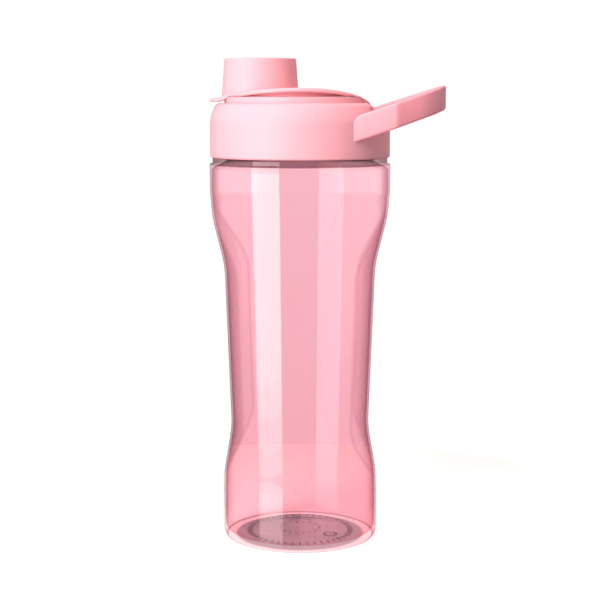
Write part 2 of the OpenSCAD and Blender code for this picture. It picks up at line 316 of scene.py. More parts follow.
def sheer_gloss(mat, tint):
    """Light passes straight through the tint, under a gloss that grows towards grazing."""
    tree = mat.node_tree
    links = tree.links
    facing = tree.nodes.new("ShaderNodeLayerWeight")
    facing.inputs["Blend"].default_value = 0.5
    steep = math_node(tree, "POWER")
    links.new(facing.outputs["Facing"], steep.inputs[0])
    steep.inputs[1].default_value = 5
    through = tree.nodes.new("ShaderNodeBsdfTransparent")
    links.new(tint, through.inputs["Color"])
    gloss = tree.nodes.new("ShaderNodeBsdfGlossy")
    gloss.inputs["Color"].default_value = (1, 1, 1, 1)
    links.new(spread(tree, noise(tree, 700, 2), 0.01, 0.05), gloss.inputs["Roughness"])
    bumped(tree, gloss, [(noise(tree, 22, 2, 0.4, (1, 1, 0.5)), 0.10, 0.0012)])
    sheer = tree.nodes.new("ShaderNodeMixShader")
    links.new(spread(tree, steep.outputs[0], 0.043, 0.45, (0, 1)), sheer.inputs[0])
    links.new(through.outputs["BSDF"], sheer.inputs[1])
    links.new(gloss.outputs["BSDF"], sheer.inputs[2])
    links.new(sheer.outputs["Shader"], tree.nodes["Material Output"].inputs["Surface"])
    tree.nodes.remove(tree.nodes["Principled BSDF"])


BASE_EDGE = (0.0300, 0.0310)  # radius, in metres, over which the base's tints end
NECK_SHADE_LINE = (0.1783, 0.1786)  # height over which the painted shade line at the shoulder's top begins
NECK_SHADE_START = (0.17905, 0.1793)  # height over which the painted shade round the neck, under the collar, begins
GRAZING_TINT = (0.95, 0.70, 0.75)


def clear_plastic(name):
    """The body's tint, deeper low down and at grazing angles, with painted shade in base, neck and foot.
    """
    mat, tree = new_material(name)[:2]
    links = tree.links
    coords = tree.nodes.new("ShaderNodeTexCoord")
    apart = tree.nodes.new("ShaderNodeSeparateXYZ")
    links.new(coords.outputs["Object"], apart.inputs["Vector"])
    height = apart.outputs["Z"]
    flat = tree.nodes.new("ShaderNodeCombineXYZ")
    links.new(apart.outputs["X"], flat.inputs["X"])
    links.new(apart.outputs["Y"], flat.inputs["Y"])
    radius = length_of(tree, flat.outputs["Vector"])
    wave = math_node(tree, "MULTIPLY_ADD")
    links.new(noise(tree, 11, 2, 0.4, (1, 1, 0.35)), wave.inputs[0])
    wave.inputs[1].default_value = 0.09
    links.new(height, wave.inputs[2])
    depth = spread(tree, wave.outputs[0], 1.0, 0.0, (0.05, 0.24))
    grazing = tree.nodes.new("ShaderNodeLayerWeight")
    grazing.inputs["Blend"].default_value = 0.5
    graze = multiplied(tree, spread(tree, grazing.outputs["Facing"], 0.0, 1.0, (0.55, 1.0)),
                       spread(tree, height, 0.0, 1.0, (0.006, 0.010)))
    # painted shadow: the shaded table under the base, seen through it, laid on the base as a deeper tint
    base = multiplied(tree, spread(tree, radius, 1.0, 0.0, BASE_EDGE),
                      spread(tree, height, 1.0, 0.0, (0.0024, 0.0028)))
    base_top = multiplied(tree, spread(tree, radius, 1.0, 0.0, BASE_EDGE),
                          spread(tree, height, 1.0, 0.0, (0.0062, 0.0068)))
    # painted shade: a dark line along the foot's lower edge, where it stands on the table
    rim = multiplied(tree, spread(tree, radius, 0.0, 1.0, (0.0345, 0.0352)),
                     spread(tree, height, 1.0, 0.0, (0.0002, 0.0006)))
    tint = between(tree, depth, (1.0, 0.848, 0.878), (1.0, 0.806, 0.842))
    for label, colour in (("scooped", (0.99, 0.795, 0.835)), ("scoop_edge", (0.93, 0.70, 0.75))):
        mark = tree.nodes.new("ShaderNodeAttribute")
        mark.attribute_name = label
        tint = over(tree, tint, mark.outputs["Fac"], colour)
    tint = over(tree, tint, graze, GRAZING_TINT)
    tint = over(tree, tint, base_top, (0.97, 0.90, 0.92))
    # painted shadow under the base
    tint = over(tree, tint, base, (0.66, 0.62, 0.64))
    # painted shade: a dark line at the shoulder's top, and a deeper tint round the neck where the collar
    # shades it
    tint = over(tree, tint, spread(tree, height, 0.0, 1.0, NECK_SHADE_LINE), (0.58, 0.40, 0.44))
    tint = over(tree, tint, spread(tree, height, 0.0, 1.0, NECK_SHADE_START), (0.60, 0.44, 0.47))
    # painted shade along the foot's lower edge
    tint = over(tree, tint, rim, (0.66, 0.50, 0.53))
    sheer_gloss(mat, tint)
    return mat


def clear_marks(name):
    """The same plastic for the small raised marks of the mould, in a light tint."""
    mat, tree = new_material(name)[:2]
    sheer_gloss(mat, between(tree, noise(tree, 300, 2), (0.95, 0.88, 0.90), (0.90, 0.82, 0.84)))
    return mat


clear_pink = clear_plastic("clear_pink")
mark_pink = clear_marks("mark_pink")


# %% [markdown]
# The gasket and the cap's seal are milky silicone, soft and dusty, so they are rough and barely
# shine. The hinge pin is drawn steel, whose fine lines run along it. Both hardly show, and they
# keep the CAD mesh, as do the inner lid and the strainer, which are of the lid's plastic. Noise
# is enough for both finishes, where a picture would have to be laid on each piece.

# %% Silicone and steel
def silicone_rubber(name):
    mat, tree, shader = new_material(name)
    tree.links.new(between(tree, noise(tree, 30), (0.86, 0.82, 0.82), (0.80, 0.76, 0.76)),
                   shader.inputs["Base Color"])
    dust = noise(tree, 2500, 3, 0.7)
    tree.links.new(spread(tree, dust, 0.55, 0.75), shader.inputs["Roughness"])
    bumped(tree, shader, [(dust, 0.15, 0.00005)])
    return mat


def drawn_steel(name):
    mat, tree, shader = new_material(name)
    lines = noise(tree, 900, 2, 0.6, (1, 0.04, 1))
    tree.links.new(between(tree, lines, (0.62, 0.62, 0.63), (0.50, 0.50, 0.52)),
                   shader.inputs["Base Color"])
    shader.inputs["Metallic"].default_value = 1.0
    tree.links.new(spread(tree, lines, 0.22, 0.38), shader.inputs["Roughness"])
    bumped(tree, shader, [(lines, 0.2, 0.00004)])
    return mat


silicone = silicone_rubber("silicone_milky")
steel = drawn_steel("pin_drawn_steel")


def dress(piece, material):
    """Give a piece one material."""
    piece.data.materials.clear()
    piece.data.materials.append(material)


for node, material in (("lid_gasket", silicone), ("cap_seal", silicone), ("hinge_pin", steel),
                       ("lid_liner", lid_pink), ("mixing_grid", lid_pink)):
    for place in nodes[node].material_slots:
        place.material = material

# %% [markdown]
# The body is one blow-moulded bottle, so its outside and inside are one closed skin. Its material
# does not bend light, and a real thick wall looks thinner than it is, so the inner face is set
# closer to the outer one than the CAD wall. The waist is a turned cone with a scoop on each side.
# A scoop is part of a larger turned surface whose axis lies beyond the middle, and each column of
# the mesh follows the edge where the two meet.

# %% Bottle body
FOOT_R, NECK_R, MOUTH_R, RIM_Z = 36.8, 37.0, 34.6, 197.0
SHOULDER_R, SHOULDER_Z, BEAD_R, BEAD_Z = 42.6, 179.0, 41.2, 181.6
FLOOR_Z, PUNT, GATE_R = 4.6, 2.2, 6.4
SKIN = 1.0  # inset of the inner face, in place of the 2.4 mm of the CAD wall
SCOOP_OFFSET, WAIST_TURN = 25.0, math.radians(-3.5)
FOOT_TOP = 27.0  # height at which the straight foot ends
cone_radius = smooth_curve([0, FOOT_TOP, 40, 161, 168, 200],
                           [FOOT_R, FOOT_R, 37.33, 42.2, SHOULDER_R, SHOULDER_R])
WAIST_R, WAIST_Z, WAIST_SLOPE, SCOOP_STEP = 32.9, 57.0, 0.0385, 5.3
WAIST_START = 25.0  # height at which the scoop begins
STEP_Z, STEP_RUN = 126.0, 36.0  # it flares out from STEP_Z upwards, over STEP_RUN


def ease(t):
    t = min(1.0, max(0.0, t))
    return t * t * (3 - 2 * t)


def scoop_radius(z):
    """Side-to-side half width of the scooped body, the same curve as in the CAD source."""
    if z < WAIST_Z:
        foot_share = 1 - ease((z - WAIST_START) / (WAIST_Z - WAIST_START))
        return WAIST_R + (FOOT_R + 0.1 - WAIST_R) * foot_share + 0.05 * max(0, FOOT_TOP - z)
    flare = SCOOP_STEP * ease((z - STEP_Z) / STEP_RUN)
    return WAIST_R + WAIST_SLOPE * (z - WAIST_Z) + flare + 0.11 * max(0, z - STEP_Z - STEP_RUN)


def scoop_reach(near, side):
    """Distance from the axis to the scoop, `near` being the cosine of the angle from its middle."""
    c = SCOOP_OFFSET
    return -c * near + np.sqrt(np.maximum(c**2 * near**2 - c**2 + (side + c) ** 2, 0))


COLUMNS = 64  # in each scoop, and in each stretch of cone between the scoops
CROWDING = 0.55  # how far the columns crowd towards the edges of the scoops
NARROWEST = math.radians(14)  # least half angle of the columns that a scoop gets
SOFT = 0.55  # mm over which the two surfaces melt into each other


def waist_ring(z, inset=0.0):
    """Ring of points on the waisted body at height z, `inset` mm inside its outer face."""
    cone, side = float(cone_radius(z)) - inset, float(scoop_radius(z)) - inset
    c = SCOOP_OFFSET
    edge = (side**2 + 2 * c * side - cone**2) / (2 * c * cone)
    edge = math.acos(max(-1, min(math.cos(NARROWEST), edge)))
    t = 0.5 - 0.5 * np.cos(np.linspace(0, math.pi, COLUMNS, endpoint=False))
    t = CROWDING * t + (1 - CROWDING) * np.linspace(0, 1, COLUMNS, endpoint=False)
    half_turn = np.concatenate([-edge + 2 * edge * t, edge + (math.pi - 2 * edge) * t])
    angle = np.concatenate([half_turn, math.pi + half_turn])
    scoop = scoop_reach(np.abs(np.cos(angle)), side)
    mix = np.clip(0.5 + 0.5 * (scoop - cone) / SOFT, 0, 1)
    r = scoop * (1 - mix) + cone * mix - SOFT * mix * (1 - mix)
    return np.stack([r * np.cos(angle + WAIST_TURN), r * np.sin(angle + WAIST_TURN),
                     np.full(len(r), z)], 1)


def round_ring(r, z, angle):
    """Ring of radius r at height z, with a point at each angle."""
    return np.stack([r * np.cos(angle), r * np.sin(angle), np.full(len(angle), z)], 1)


even = np.arctan2(*waist_ring(176.0)[:, 1::-1].T)  # the waist's own angles, for the round rings
foot_profile = fillet([
    (0.5, PUNT), (19, PUNT, 1), (20.2, PUNT - 0.7, 0.8), (27, PUNT - 0.9, 3), (30.8, 0.0, 1.5),
    (35.2, 0.0, 1.2), (FOOT_R - 0.1, 1.8, 1.5), (FOOT_R, 4.0)], 6)
rings = [round_ring(r, z, even) for r, z in foot_profile]
heights = np.concatenate([np.linspace(5, 27, 9), np.linspace(29, 66, 22), np.linspace(68, 118, 18),
                          np.linspace(120, 177.4, 34)])
rings += [waist_ring(z) for z in heights]
neck_profile = fillet([
    (SHOULDER_R, 177.6), (SHOULDER_R, SHOULDER_Z, 1.1), (BEAD_R, SHOULDER_Z, 0.3),
    (BEAD_R, BEAD_Z, 0.5), (NECK_R, BEAD_Z, 0.8), (NECK_R, RIM_Z, 0.8), (MOUTH_R, RIM_Z, 0.8),
    (MOUTH_R, SHOULDER_Z + 1.2, 1.5), (SHOULDER_R - SKIN, 177.0, 2.5), (SHOULDER_R - SKIN, 168)], 6)


def with_straights(profile, step=0.5):
    """Extra points on the neck's straight outside, so that the thread ridge has mesh to stand on."""
    out = [profile[0]]
    for p in profile[1:]:
        gap = np.linalg.norm(p - out[-1])
        if p[0] > MOUTH_R + 2 and p[1] > BEAD_Z + 1 and gap > 2:
            n = int(gap / step)
            out += [out[-1] + (p - out[-1]) * k / n for k in range(1, n)]
        out.append(p)
    return out


def thread_height(angle, z, lead=9.0, starts=2, turns=0.9, z0=RIM_Z - 11, high=1.2):
    """How far the two-start ridge stands out of the neck at each point."""
    out = np.zeros(len(angle))
    for s in range(starts):
        along = np.mod(angle - 2 * math.pi * s / starts, 2 * math.pi)
        for lap in (0, 1):
            u = (along + 2 * math.pi * lap) / (2 * math.pi * turns)
            off = np.abs(z - z0 - lead * turns * u)
            ends = np.clip(np.minimum(u, 1 - u) * 8, 0, 1)
            out = np.maximum(out, high * ends * np.clip((1.1 - off) / 0.7, 0, 1) * (u <= 1))
    return out


for r, z in with_straights(list(neck_profile)):
    threaded = r > NECK_R - 0.1 and BEAD_Z + 0.8 < z < RIM_Z - 0.7
    lift = thread_height(np.mod(even, 2 * math.pi), z) if threaded else 0
    rings.append(round_ring(r + lift, z, even))
rings += [waist_ring(z, SKIN) for z in heights[::-1] if 10 < z < 167]
floor_profile = fillet([
    (FOOT_R - SKIN, 9.5), (FOOT_R - SKIN, FLOOR_Z - 1.6, 3), (29.6, FLOOR_Z - 1.6, 2),
    (23.6, FLOOR_Z, 3), (GATE_R, FLOOR_Z, 0.5), (GATE_R - 0.8, FLOOR_Z + 0.9, 0.5),
    (0.5, FLOOR_Z + 0.9)], 7)
rings += [round_ring(r, z, even) for r, z in floor_profile]
body = skin("bottle_wall", rings, poles=(True, True))


EDGE_GAP = 0.45  # mm between scoop and cone at which the tint of the scoop's edge has faded out
MARK_TOP, MARK_FADE = 176.0, 8.0  # where the marks end, and the height over which they fade


def scoop_marks(piece):
    """Say at each point how far it lies in a scoop, and how near to the scoop's edge."""
    inside, edge = [], []
    for x, y, z in (v.co / MM for v in piece.data.vertices):
        near = abs(math.cos(math.atan2(y, x) - WAIST_TURN))
        gap = float(scoop_reach(near, scoop_radius(z))) - float(cone_radius(z))
        waist = ease((z - WAIST_START) / MARK_FADE) * ease((MARK_TOP - z) / MARK_FADE)
        inside.append(waist * min(1, max(0, 0.5 - gap / SOFT)))
        edge.append(waist * max(0, 1 - abs(gap) / EDGE_GAP))
    for label, values in (("scooped", inside), ("scoop_edge", edge)):
        piece.data.attributes.new(label, "FLOAT", "POINT").data.foreach_set("value", values)


scoop_marks(body)
dress(body, clear_pink)
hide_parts("bottle_body")
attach(body, "bottle")

# %% [markdown]
# The mould leaves small raised marks under the base. They repeat round circles, so one Geometry
# Nodes tree makes them: it stands a small rounded bump on each point of a circle, turns it to
# face outwards, and its inputs set how many there are and how large. The same tree makes the
# short ribs, the dots in the middle and the little date dial, and all become one plain mesh.


# %% Marks under the base
def bump_ring_tree():
    """Geometry Nodes tree: a rounded bump of a given size on each point of a circle."""
    tree = bpy.data.node_groups.new("bump_ring", "GeometryNodeTree")
    face = tree.interface
    for label, kind in (("Count", "Int"), ("Radius", "Float"), ("Size", "Vector"),
                        ("Centre", "Vector"), ("Material", "Material")):
        face.new_socket(label, in_out="INPUT", socket_type="NodeSocket" + kind)
    face.new_socket("Geometry", in_out="OUTPUT", socket_type="NodeSocketGeometry")
    make, link = tree.nodes.new, tree.links.new
    given, result = make("NodeGroupInput"), make("NodeGroupOutput")
    circle = make("GeometryNodeMeshCircle")
    link(given.outputs["Count"], circle.inputs["Vertices"])
    link(given.outputs["Radius"], circle.inputs["Radius"])
    bump = make("GeometryNodeMeshUVSphere")
    bump.inputs["Segments"].default_value, bump.inputs["Rings"].default_value = 12, 8
    bump.inputs["Radius"].default_value = 0.5
    turn = make("FunctionNodeAlignEulerToVector")
    turn.axis = "X"
    link(make("GeometryNodeInputPosition").outputs[0], turn.inputs["Vector"])
    place = make("GeometryNodeInstanceOnPoints")
    link(circle.outputs["Mesh"], place.inputs["Points"])
    link(bump.outputs["Mesh"], place.inputs["Instance"])
    link(turn.outputs["Rotation"], place.inputs["Rotation"])
    link(given.outputs["Size"], place.inputs["Scale"])
    move = make("GeometryNodeTransform")
    link(place.outputs["Instances"], move.inputs["Geometry"])
    link(given.outputs["Centre"], move.inputs["Translation"])
    real, paint = make("GeometryNodeRealizeInstances"), make("GeometryNodeSetMaterial")
    link(move.outputs["Geometry"], real.inputs["Geometry"])
    link(real.outputs["Geometry"], paint.inputs["Geometry"])
    link(given.outputs["Material"], paint.inputs["Material"])
    link(paint.outputs["Geometry"], result.inputs["Geometry"])
    return tree


def bump_ring(name, tree, **wanted):
    """Run the tree once with the named inputs, and give its result as a plain mesh object."""
    obj = bpy.data.objects.new(name, bpy.data.meshes.new(name))
    bpy.context.scene.collection.objects.link(obj)
    mod = obj.modifiers.new("ring", "NODES")
    mod.node_group = tree
    for item in tree.interface.items_tree:
        if item.in_out == "INPUT":
            mod[item.identifier] = wanted[item.name]
    now = bpy.context.evaluated_depsgraph_get()
    mesh = bpy.data.meshes.new_from_object(obj.evaluated_get(now), depsgraph=now)
    bpy.data.objects.remove(obj)
    return finished(name, mesh)


tree = bump_ring_tree()
marks = joined("base_marks", [
    bump_ring("base_ribs", tree, Count=44, Radius=24.5 * MM, Size=(3.4 * MM, 0.8 * MM, 0.9 * MM),
              Centre=(0, 0, 1.4 * MM), Material=mark_pink),
    bump_ring("gate_dots", tree, Count=18, Radius=9.5 * MM, Size=(1.4 * MM, 0.7 * MM, 0.7 * MM),
              Centre=(0, 0, PUNT * MM), Material=mark_pink),
    bump_ring("date_dial", tree, Count=12, Radius=3.0 * MM, Size=(1.1 * MM, 1.1 * MM, 0.9 * MM),
              Centre=(14.5 * MM, -11 * MM, PUNT * MM), Material=mark_pink)])
dress(marks, mark_pink)
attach(marks, "bottle")

# %% [markdown]
# The collar is a turned shell with a soft shoulder, and a notch is cut in it for the flip cap's
# hinge. The notch is made with a Boolean, then kept as plain mesh, because the cutter's straight
# sides have nothing to do with the rings of the shell.

# %% Collar of the lid
COLLAR_R, COLLAR_Z, LEDGE_Z, DECK_R, DECK_Z = 42.3, 181.8, 207.2, 36.0, 210.0
HINGE_X, HINGE_Z, BARREL_R, TAIL_HALF = 31.5, 204.0, 2.4, 22.5
COLLAR_WALL, SHOULDER_RISE, LEDGE_WALL = 2.0, 10.0, 2.0
LIP_R = DECK_R + 0.1  # inner edge of the collar's ledge, just clear of the deck
collar_side = smooth_curve([0, 1, 2.9, 5.0, 7.0, 8.5, 9.4, SHOULDER_RISE],
                           [0, 0.02, 0.30, 0.85, 1.6, 2.35, 3.1, 5.2])
shoulder = [(COLLAR_R - float(collar_side(h)), LEDGE_Z - SHOULDER_RISE + h)
            for h in np.linspace(0, SHOULDER_RISE, 26)]
shoulder = shoulder[:-2] + [(COLLAR_R - 4.6, LEDGE_Z - 0.03), (DECK_R + 0.5, LEDGE_Z)]
skirt_edge = fillet([(COLLAR_R - COLLAR_WALL, COLLAR_Z + 8), (COLLAR_R - COLLAR_WALL, COLLAR_Z, 0.4),
                     (COLLAR_R, COLLAR_Z, 1.1), (COLLAR_R, COLLAR_Z + 6)], 6)
lip = fillet([(DECK_R + 0.5, LEDGE_Z), (LIP_R, LEDGE_Z, 0.1), (LIP_R, LEDGE_Z - LEDGE_WALL),
              (COLLAR_R - COLLAR_WALL, LEDGE_Z - LEDGE_WALL)], 3)
collar = lathe("collar", np.concatenate([skirt_edge, shoulder, lip]), 256)


def block(name, low, high):
    """A plain box in mm, used as a cutter."""
    plan = ((low[0], low[1]), (high[0], low[1]), (high[0], high[1]), (low[0], high[1]))
    rings = [np.array([(x, y, z) for x, y in plan]) for z in (low[2], high[2])]
    return skin(name, rings, poles=(True, True))


NOTCH_X, NOTCH_FLOOR = HINGE_X - BARREL_R - 1.5, HINGE_Z - BARREL_R - 0.4
notch_half = TAIL_HALF + 0.1
carved(collar, [block("notch", (NOTCH_X, -notch_half, NOTCH_FLOOR), (60, notch_half, 230))])
dress(collar, lid_pink)
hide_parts("lid_shell")
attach(collar, "lid")

# %% [markdown]
# The flip cap is one moulding: an arched plate, a thumb tab, a tail that turns on the pin, a
# set-back skirt and the spout cap. The plate, tab and tail flow into each other, so they are one
# skin on a polar grid: the outline gives the tab, and the arch gives the height everywhere.

# %% Flip cap outline
PLATE_R, PLATE_Z, TAB_REACH, TAB_SPREAD = 35.2, 214.0, 42.2, math.radians(27)
SPOUT_X, CAP_Z, CAP_TOP_R, CAP_ROOT_R = -18.6, 227.8, 16.9, 18.0
REST_Z = DECK_Z + 0.15
TAIL_BEND, TAIL_SOFT = 31.5, 2.0
RIM_ROUND = 0.85
ARCH_FALL, ARCH_REACH = 3.6, 36.8  # the arch falls by ARCH_FALL at x = -ARCH_REACH
HINGE_REACH = 34.0  # and is down at the hinge's height at this x
PLATE_T, TAB_T = 1.9, 2.3


def arch(x):
    """Height of the plate's top: nearly flat to the left, bending down over the hinge."""
    x = np.asarray(x, float)
    left = PLATE_Z - ARCH_FALL * (x / ARCH_REACH) ** 2
    bend = np.sqrt(np.maximum(0, 1 - (np.maximum(x, 0) / HINGE_REACH) ** 2.2))
    return np.where(x < 0, left, HINGE_Z + (PLATE_Z - HINGE_Z) * bend)


def plate_outline(count=288):
    """The plate from above: a circle that swells into the tab and is eased flat over the hinge."""
    t = np.linspace(0, 2 * math.pi, count, endpoint=False)
    near = np.clip(1.35 * (1 - np.abs(t - math.pi) / TAB_SPREAD), 0, 1)
    r = PLATE_R + (TAB_REACH - PLATE_R) * near**2 * (3 - 2 * near)
    x = r * np.cos(t)
    eased = TAIL_BEND + TAIL_SOFT * (1 - np.exp(-np.maximum(x - TAIL_BEND, 0) / TAIL_SOFT))
    return np.where(x > TAIL_BEND, eased, x), r * np.sin(t)


def underside(x, y):
    """Lowest point of the plate: just over the deck, deeper in the tab and over the hinge."""
    thin = np.maximum(arch(x) - PLATE_T, REST_Z)
    tab = np.maximum(arch(x) - TAB_T, LEDGE_Z + 0.4)
    low = np.where(np.hypot(x, y) > DECK_R + 0.5, tab, thin)
    dip = np.clip((x - NOTCH_X) / 0.3, 0, 1)
    return np.minimum(np.where(x > NOTCH_X, low + (HINGE_Z + 1 - low) * dip, low), arch(x) - 0.1)


# %% [markdown]
# The plate could be a bent sheet with a thickness, but its underside has to miss the deck and
# the collar. So its rings run over the top, round the rim and back in at heights of their own.
# The barrel on the pin is straight, so it is a round side view run across.

# %% Plate, tab and tail
def plate(name):
    """Rings from the middle of the top out to the rim, round it, and back in underneath."""
    ox, oy = plate_outline()
    rings = []
    for s in np.linspace(0.02, 1, 16)[:-1]:
        f = s * (1 - RIM_ROUND / PLATE_R)
        rings.append(np.stack([ox * f, oy * f, arch(ox * f)], 1))
    for a in np.linspace(0, math.pi / 2, 7):
        f = 1 - RIM_ROUND * (1 - math.sin(a)) / PLATE_R
        rings.append(np.stack([ox * f, oy * f, arch(ox * f) - RIM_ROUND * (1 - math.cos(a))], 1))
    top, low = rings[-1][:, 2], underside(ox, oy)
    rings.append(np.stack([ox, oy, np.minimum(top - 0.04, low + 0.5)], 1))
    for f, reach in ((0.99, TAB_REACH), (0.95, DECK_R + 0.7), (0.94, DECK_R + 0.35), (0.8, PLATE_R),
                     (0.6, PLATE_R), (0.4, PLATE_R), (0.2, PLATE_R), (0.02, PLATE_R)):
        f = np.minimum(f, reach / np.hypot(ox, oy))
        x, y = ox * f, oy * f
        bottom = underside(x, y)
        if reach == TAB_REACH:
            bottom = np.minimum(bottom, top - 0.06)  # the outermost ring underneath stays below the rim
        rings.append(np.stack([x, y, bottom], 1))
        if reach == DECK_R + 0.35:
            for edge in (NOTCH_X + 0.2, NOTCH_X - 0.2):
                x = np.minimum(x * 0.998, edge)
                rings.append(np.stack([x, y, underside(x, y)], 1))
    return skin(name, rings, poles=(True, True))


def side_slab(name, outline, half, round_r=0.7, steps=4):
    """A side-view outline (x, z) run across Y between -half and half, with rounded ends."""
    outline = np.array(outline, float)
    inward = outline.mean(0) - outline
    inward /= np.linalg.norm(inward, axis=1, keepdims=True)
    rings = []
    for sign in (-1, 1):
        row = []
        for a in np.linspace(0, math.pi / 2, steps):
            p = outline + inward * round_r * (1 - math.sin(a))
            y = np.full(len(p), sign * (half - round_r * (1 - math.cos(a))))
            row.append(np.stack([p[:, 0], y, p[:, 1]], 1))
        rings += row if sign < 0 else row[::-1]
    return skin(name, rings, poles=(True, True))


barrel_side = [(HINGE_X + BARREL_R * math.cos(a), HINGE_Z + BARREL_R * math.sin(a))
               for a in np.linspace(0, 2 * math.pi, 48, endpoint=False)]
barrel = side_slab("barrel", barrel_side, TAIL_HALF, 0.6)

# %% [markdown]
# The skirt is a short wall set back under the plate, with a straight side towards the hinge. The
# spout cap is turned. A hole for the spout is cut out of the plate under it with a Boolean, since
# the plate's rings run round another middle, so that the cap is hollow when seen from below.

# %% Skirt and spout cap
SKIRT_R, SKIRT_T, SKIRT_END = 32.2, 2.0, 20.0
skirt_t = np.linspace(0, 2 * math.pi, 200, endpoint=False)


def skirt_ring(r, z=None):
    """Ring of the skirt, cut short of the hinge, at height z or up inside the plate."""
    x, y = np.minimum(r * np.cos(skirt_t), SKIRT_END - SKIRT_R + r), r * np.sin(skirt_t)
    return np.stack([x, y, arch(x) - 0.3 if z is None else np.full(len(x), z)], 1)


skirt = skin("skirt", [skirt_ring(SKIRT_R, REST_Z), skirt_ring(SKIRT_R), skirt_ring(SKIRT_R - SKIRT_T),
                       skirt_ring(SKIRT_R - SKIRT_T, REST_Z)], closed=True)
cap_profile = fillet([
    (0.3, CAP_Z), (CAP_TOP_R - 0.1, CAP_Z, 0.8), (CAP_ROOT_R, REST_Z + 0.3),
    (CAP_ROOT_R - 1.6, REST_Z + 0.3), (CAP_TOP_R - 1.7, CAP_Z - 2, 0.5), (0.3, CAP_Z - 2)], 7)
cap_wall = turned_solid("cap_wall", cap_profile, 160, (SPOUT_X, 0))
ROOM_R = CAP_ROOT_R - 1.8  # the spout stands in this room, which is cut out of the plate
plate_skin = carved(plate("plate"), [drum("spout_room", ROOM_R, 195, 218, (SPOUT_X, 0))])
flip_cap = joined("flip_cap_moulding", [plate_skin, skirt, barrel, cap_wall])
dress(flip_cap, lid_pink)
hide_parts("flip_cap")
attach(flip_cap, "cap")

# %% [markdown]
# The carry loop is a flat band stood on edge and bent round: two flat arms, a crisp bend, a short
# straight and a round nose. Its section is swept along that path, and sheared upwards to the
# right, so that its faces stay upright while it climbs.

# %% Carry loop
LOOP_HALF, NOSE_R, LOOP_REACH, LOOP_BEND = 34.8, 33.2, 68.3, math.radians(34.5)
BAND_T, BAND_H, LOOP_SLOPE, LOOP_LOW = 3.5, 11.5, math.tan(math.radians(18.3)), 189.85
NOSE_X = LOOP_REACH - NOSE_R
LOOP_LOW_X = 25.0  # LOOP_LOW is the height of the band's lower edge here
ROOT_END, ROOT_RUN, ROOT_DROP = 28.2, 4.1, 2.8  # how the top edge rounds down into the collar


def loop_path(d):
    """Half of the loop's plan, from the collar to the tip of the nose, set in by d."""
    r, half = NOSE_R - d, LOOP_HALF - d
    join = (NOSE_X + r * math.sin(LOOP_BEND), r * math.cos(LOOP_BEND))
    crease = join[0] - (half - join[1]) / math.tan(LOOP_BEND)
    arm = [(x, half) for x in (21.5, 23.9, 24.1, 24.2, 24.5, 25, 25.6, 26.4, 27.3, ROOT_END, 33,
                               crease - 0.05)]
    straight = [(crease + 0.05 + (join[0] - crease) * k / 6,
                 half - (half - join[1]) * (k / 6) - 0.02) for k in range(6)]
    a0 = math.pi / 2 - LOOP_BEND
    nose = [(NOSE_X + r * math.cos(a), r * math.sin(a)) for a in np.linspace(a0, 0, 22)]
    return arm + straight + nose


def loop_paths(d):
    """The whole plan, from one end in the collar round to the other."""
    side = loop_path(d)
    return [(x, -y) for x, y in side] + [(x, y) for x, y in side[-2::-1]]


OUTER_ROUND, INNER_ROUND = 1.2, 0.9
section = []
for corner, across, up, start in ((OUTER_ROUND, 0, 0, 2), (INNER_ROUND, 1, 0, 3), (INNER_ROUND, 1, 1, 0),
                                  (OUTER_ROUND, 0, 1, 1)):
    middle = (BAND_T - corner if across else corner, BAND_H - corner if up else corner)
    for k in range(6):
        a = start * math.pi / 2 + k * math.pi / 10
        section.append((middle[0] + corner * math.cos(a), middle[1] + corner * math.sin(a)))
tracks = []
for depth, rise in section:
    track = []
    for x, y in loop_paths(depth):
        root = min(1.0, max(0.0, (ROOT_END - x) / ROOT_RUN))
        drop = ROOT_DROP * (1 - math.sqrt(1 - root**2)) * rise / BAND_H
        track.append((x, y, LOOP_LOW + (x - LOOP_LOW_X) * LOOP_SLOPE + rise - drop))
    tracks.append(track)
loop_rings = [np.array([t[i] for t in tracks]) for i in range(len(tracks[0]))]
loop = skin("carry_loop_band", loop_rings, poles=(True, True))
carved(loop, [drum("core", COLLAR_R - 1.6, 150, 250)])  # the arms end inside the collar's wall
dress(loop, loop_pink)
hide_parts("carry_loop")
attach(loop, "lid")

# %% [markdown]
# The bottle stands on a small pale table in a white studio. A tall soft box at the front left
# gives the long highlight on the body, and a larger one above it shades the lid from left to
# right. The surroundings are white behind the clear plastic and softer for what they light. The
# table glows a little, most near the foot, in place of the light that a white room throws back.

# %% Floor, lights and surroundings
TABLE_R, TABLE_T = 190, 1.0
table_profile = fillet([(0.5, 0.0), (TABLE_R, 0.0, 0.4), (TABLE_R, -TABLE_T), (0.5, -TABLE_T)])
floor = turned_solid("floor_disc", table_profile)
floor_mat, tree, shader = new_material("pale_table")
mottle = between(tree, noise(tree, 40), (0.81, 0.81, 0.81), (0.79, 0.79, 0.79))
tree.links.new(mottle, shader.inputs["Base Color"])
shader.inputs["Roughness"].default_value = 0.85
shader.inputs["Emission Color"].default_value = (1, 1, 1, 1)
from_foot = length_of(tree, tree.nodes.new("ShaderNodeTexCoord").outputs["Object"])
tree.links.new(spread(tree, from_foot, 0.44, 0.19, (0.05, 0.18)), shader.inputs["Emission Strength"])
dress(floor, floor_mat)
floor.visible_glossy = False


def soft_box(name, azimuth, distance, height, size, power, aim=0.11, colour=(1, 1, 0.93)):
    """An area light at an azimuth measured from the front towards +X, aimed at the bottle."""
    data = bpy.data.lights.new(name, "AREA")
    data.shape, data.size, data.size_y, data.energy = "RECTANGLE", size[0], size[1], power
    data.color = colour
    lamp = bpy.data.objects.new(name, data)
    a = math.radians(azimuth)
    lamp.location = (distance * math.sin(a), -distance * math.cos(a), height)
    tilt = math.atan2(height - aim, distance)
    lamp.rotation_euler = (math.pi / 2 - tilt, 0, a)
    lamp.visible_camera = False
    bpy.context.scene.collection.objects.link(lamp)
    return lamp


